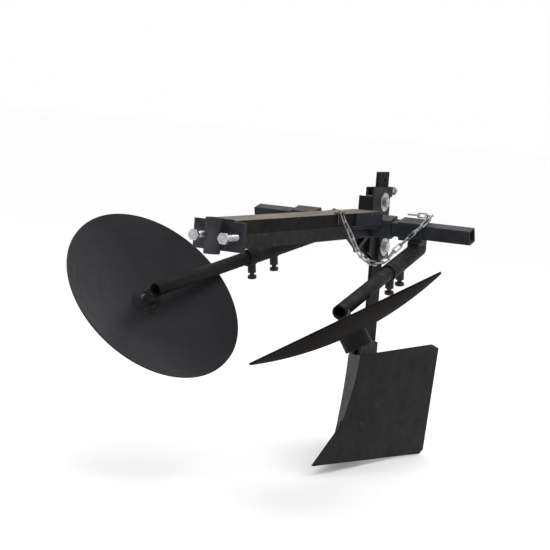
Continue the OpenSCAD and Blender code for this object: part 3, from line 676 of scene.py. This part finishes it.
def wing(side):
    sign = SIDES[side]["sign"]
    across = [i / 24 for i in range(25)]
    down = sorted({i / 4 for i in range(37)})
    verts, faces = [], []
    for shift in (0, -WING_T):
        for u in down:
            a, b = front_edge(u), rear_edge(u)
            for v in across:
                p = a.lerp(b, v) + Vector((shift, 0, 0))
                verts.append(Vector((sign * p.x, p.y, p.z)) * MM)
    w, h = len(across), len(down)

    def at(layer, i, k):
        return layer * w * h + i * w + k

    for i in range(h - 1):
        for k in range(w - 1):
            faces.append((at(0, i, k), at(0, i, k + 1), at(0, i + 1, k + 1), at(0, i + 1, k)))
            faces.append((at(1, i, k), at(1, i + 1, k), at(1, i + 1, k + 1), at(1, i, k + 1)))
        for k in (0, w - 1):
            faces.append((at(0, i, k), at(0, i + 1, k), at(1, i + 1, k), at(1, i, k)))
    for k in range(w - 1):
        for i in (0, h - 1):
            faces.append((at(0, i, k), at(0, i, k + 1), at(1, i, k + 1), at(1, i, k)))
    node = "share_wing_" + side
    return piece("smooth_" + node, verts, faces, SHARE, body_of(node), [node])


for side in SIDES:
    wing(side)

# ---------- finishes of the CAD nodes ----------
FINISH = {
    "hitch_tube": PLATE, "hitch_plate": PLATE, "beam_upper_channel": BEAM,
    "beam_lower_channel": BLACK, "saddle_gusset_right": SADDLE, "saddle_gusset_left": SADDLE,
    "crossbar_socket": BAR, "crossbar": BAR, "brace_bar": BRACE, "share_breast": BREAST,
    "share_wing_right": SHARE, "share_wing_left": SHARE, "cross_bolt_washers": ZINC,
    "clamp_bosses_right": BOSS, "clamp_bosses_left": BOSS, "lift_chain": CHAIN, "chain_hook": DULL,
    "disc_right": DISC["right"], "disc_left": DISC["left"],
    "collar_right": COLLAR, "collar_left": COLLAR, "arm_tube_right": TUBE, "arm_tube_left": TUBE,
    "sleeve_right": TUBE, "sleeve_left": TUBE, "shank": TUBE,
}
for name, obj in nodes.items():
    finish = FINISH.get(name)
    if finish is None:
        metal = name.startswith(("axle", "hub_bearings", "bearing_spacer"))
        finish = AXLE if metal else BLACK
    obj.data.materials.clear()
    obj.data.materials.append(finish)

# The spare link beside the beam is dull, not bright.
SPARE_LINK = mm(BEAM_W / 2 + 2.2, 441, BEAM_TOP - 6.2)
chain = nodes["lift_chain"].data
chain.materials.append(DULL)
for face in chain.polygons:
    off = face.center - SPARE_LINK
    if abs(off.x) < 0.0022 and abs(off.y) < 0.007 and -0.0143 < off.z < 0.0144:
        face.material_index = 1

# ---------- camera, floor and light ----------
SENSOR = 36.0
IMAGE, FOCAL = 550, 1600  # the picture's width, and the focal length in the same unit
CAMERA_AT = mm(1405.5, -2431.6, 250.87)
AZIMUTH, ELEVATION, ROLL = (math.radians(a) for a in (26.736, 5.894, 4.548))
cam_data = bpy.data.cameras.new("camera")
cam = bpy.data.objects.new("camera", cam_data)
bpy.context.scene.collection.objects.link(cam)
bpy.context.scene.camera = cam
cam_data.sensor_width = SENSOR
cam_data.lens = FOCAL / IMAGE * SENSOR
cam_data.shift_x, cam_data.shift_y = -0.0501, -0.0191
cam_data.clip_start, cam_data.clip_end = 0.05, 60
back = Vector((
    math.sin(AZIMUTH) * math.cos(ELEVATION),
    -math.cos(AZIMUTH) * math.cos(ELEVATION),
    math.sin(ELEVATION),
))
across = Vector((math.cos(AZIMUTH), math.sin(AZIMUTH), 0))
upward = back.cross(across)
right = math.cos(ROLL) * across + math.sin(ROLL) * upward
up = -math.sin(ROLL) * across + math.cos(ROLL) * upward
cam.matrix_world = Matrix.Translation(CAMERA_AT) @ Matrix((right, up, back)).transposed().to_4x4()

FLOOR_HALF, FLOOR_GAP = 30.0, 0.0005
floor_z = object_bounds()[0].z - FLOOR_GAP
floor_mesh = bpy.data.meshes.new("floor")
corners = [
    (x * FLOOR_HALF, y * FLOOR_HALF, floor_z) for x, y in ((-1, -1), (1, -1), (1, 1), (-1, 1))
]
floor_mesh.from_pydata(corners, [], [(0, 1, 2, 3)])
floor = bpy.data.objects.new("floor", floor_mesh)
bpy.context.scene.collection.objects.link(floor)
ground = Shade("pale_floor", Roughness=0.9)
cloud = ground.remap(ground.noise(2.5), 0.3, 0.7)
ground.link(ground.mix(cloud, (0.975, 0.975, 0.975), (0.99, 0.99, 0.99)), "Base Color")
floor_mesh.materials.append(ground.mat)

world = bpy.data.worlds.new("studio")
bpy.context.scene.world = world
world.use_nodes = True
world.node_tree.nodes["Background"].inputs[0].default_value = (1, 1, 1, 1)
world.node_tree.nodes["Background"].inputs[1].default_value = 1.0


def area(name, where, aim, size, watts, colour=(1, 1, 1)):
    data = bpy.data.lights.new(name, "AREA")
    data.shape, data.size, data.size_y = "RECTANGLE", size[0], size[1]
    data.energy, data.color = watts, colour
    obj = bpy.data.objects.new(name, data)
    bpy.context.scene.collection.objects.link(obj)
    obj.location = where
    obj.rotation_mode = "QUATERNION"
    obj.rotation_quaternion = (Vector(aim) - Vector(where)).to_track_quat("-Z", "Y")
    return obj


centre = (0, 0.45, -0.15)
area("key", (0.9, -1.0, 2.0), centre, (1.6, 1.2), 30)
area("fill", (-2.2, -1.2, 0.9), centre, (1.5, 1.5), 4, (0.95, 0.97, 1))
area("back", (0.3, 2.6, 1.6), centre, (2.0, 1.0), 14)
area("side", (2.4, 0.4, 0.5), centre, (1.2, 1.4), 4)

scene = bpy.context.scene
scene.view_settings.view_transform = "Standard"
scene.view_settings.look = "None"
